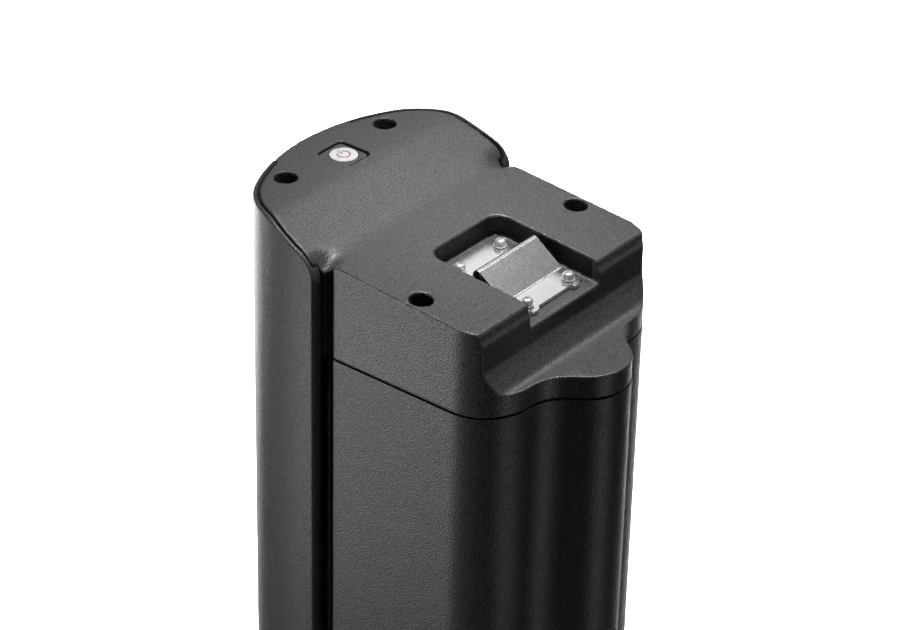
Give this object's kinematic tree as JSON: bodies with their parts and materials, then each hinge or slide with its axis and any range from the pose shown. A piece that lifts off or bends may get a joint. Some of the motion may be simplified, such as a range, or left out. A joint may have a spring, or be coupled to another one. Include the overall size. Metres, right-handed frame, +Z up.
{
  "type": "battery pack",
  "caption": "Upright in-frame traction battery pack with a D-shaped outer cover, fluted nose, screwed end caps, recessed latch bracket, sprung power key and a hinged charge port cover",
  "frame": {"origin": "centre of the bounding box's base, on the surface the pack stands on", "axes": "+Z up the pack's length, +X to the charge port side, -Y towards the fluted nose, +Y towards the D-shaped cover"},
  "size_m": [0.0976, 0.128, 0.386],
  "materials": {
    "black_moulding": "fine spark texture, satin black",
    "cover_skin": "fine spark texture, satin black",
    "zinc_plate": "bright zinc plate",
    "blackened_steel": "black oxide",
    "black_rubber": "soft matt",
    "white_lens": "translucent white, smooth",
    "green_board": "solder mask",
    "holder_plastic": "moulded",
    "cell_can": null,
    "sink_alloy": "extruded",
    "contact_brass": "tinned contact",
    "red_insulation": "silicone lead",
    "black_insulation": "silicone lead",
    "grey_insulation": "flat cable",
    "white_plastic": "nylon",
    "fuse_plastic": "tinted",
    "foam": "closed-cell foam",
    "fish_paper": "fibre sheet",
    "black_plastic": "glass-filled nylon"
  },
  "bodies": {
    "housing": {"balance_connector": "white_plastic", "balance_harness": "grey_insulation", "blade_fuse": "fuse_plastic", "bms_board": "green_board", "bms_heatsink": "sink_alloy", "bottom_cap": "black_moulding", "bottom_cap_screw_1": "blackened_steel", "bottom_cap_screw_2": "blackened_steel", "bottom_cap_screw_3": "blackened_steel", "bottom_cap_screw_4": "blackened_steel", "bottom_gasket": "black_rubber", "bracket_screw_1": "zinc_plate", "bracket_screw_2": "zinc_plate", "bracket_screw_3": "zinc_plate", "bracket_screw_4": "zinc_plate", "button_board": "green_board", "button_switch": "black_plastic", "cell_group_01": "cell_can", "cell_group_02": "cell_can", "cell_group_03": "cell_can", "cell_group_04": "cell_can", "cell_group_05": "cell_can", "cell_group_06": "cell_can", "cell_group_07": "cell_can", "cell_group_08": "cell_can", "cell_group_09": "cell_can", "cell_group_10": "cell_can", "cell_group_11": "cell_can", "cell_group_12": "cell_can", "cell_group_13": "cell_can", "cell_holder_left": "holder_plastic", "cell_holder_right": "holder_plastic", "charge_pin": "contact_brass", "charge_socket": "black_plastic", "discharge_connector": "black_plastic", "foam_pad_bottom": "foam", "foam_pad_top": "foam", "fuse_holder": "black_plastic", "insulation_sheet_left": "fish_paper", "insulation_sheet_right": "fish_paper", "latch_bracket": "zinc_plate", "main_case": "black_moulding", "negative_blade": "contact_brass", "negative_lead": "black_insulation", "outer_cover": "cover_skin", "positive_blade": "contact_brass", "positive_lead": "red_insulation", "signal_pin_1": "contact_brass", "signal_pin_2": "contact_brass", "top_cap": "black_moulding", "top_cap_screw_1": "blackened_steel", "top_cap_screw_2": "blackened_steel", "top_cap_screw_3": "blackened_steel", "top_cap_screw_4": "blackened_steel", "top_gasket": "black_rubber"},
    "key": {"power_button": "black_moulding", "button_lens": "white_lens", "switch_plunger": "black_plastic"},
    "port_cover": {"charge_port_cover": "black_rubber"}
  },
  "joints": [
    {"name": "key_press", "type": "slide", "parent": "housing", "child": "key", "axis": [0, 0, -1], "range_m": [0, 0.0008], "stiffness_N_per_m": 1500, "springref_m": -0.0008},
    {"name": "port_cover_hinge", "type": "hinge", "parent": "housing", "child": "port_cover", "pos_m": [0.0433, 0.001, 0.0286], "axis": [0, -1, 0], "range_deg": [0, 100]}
  ]
}
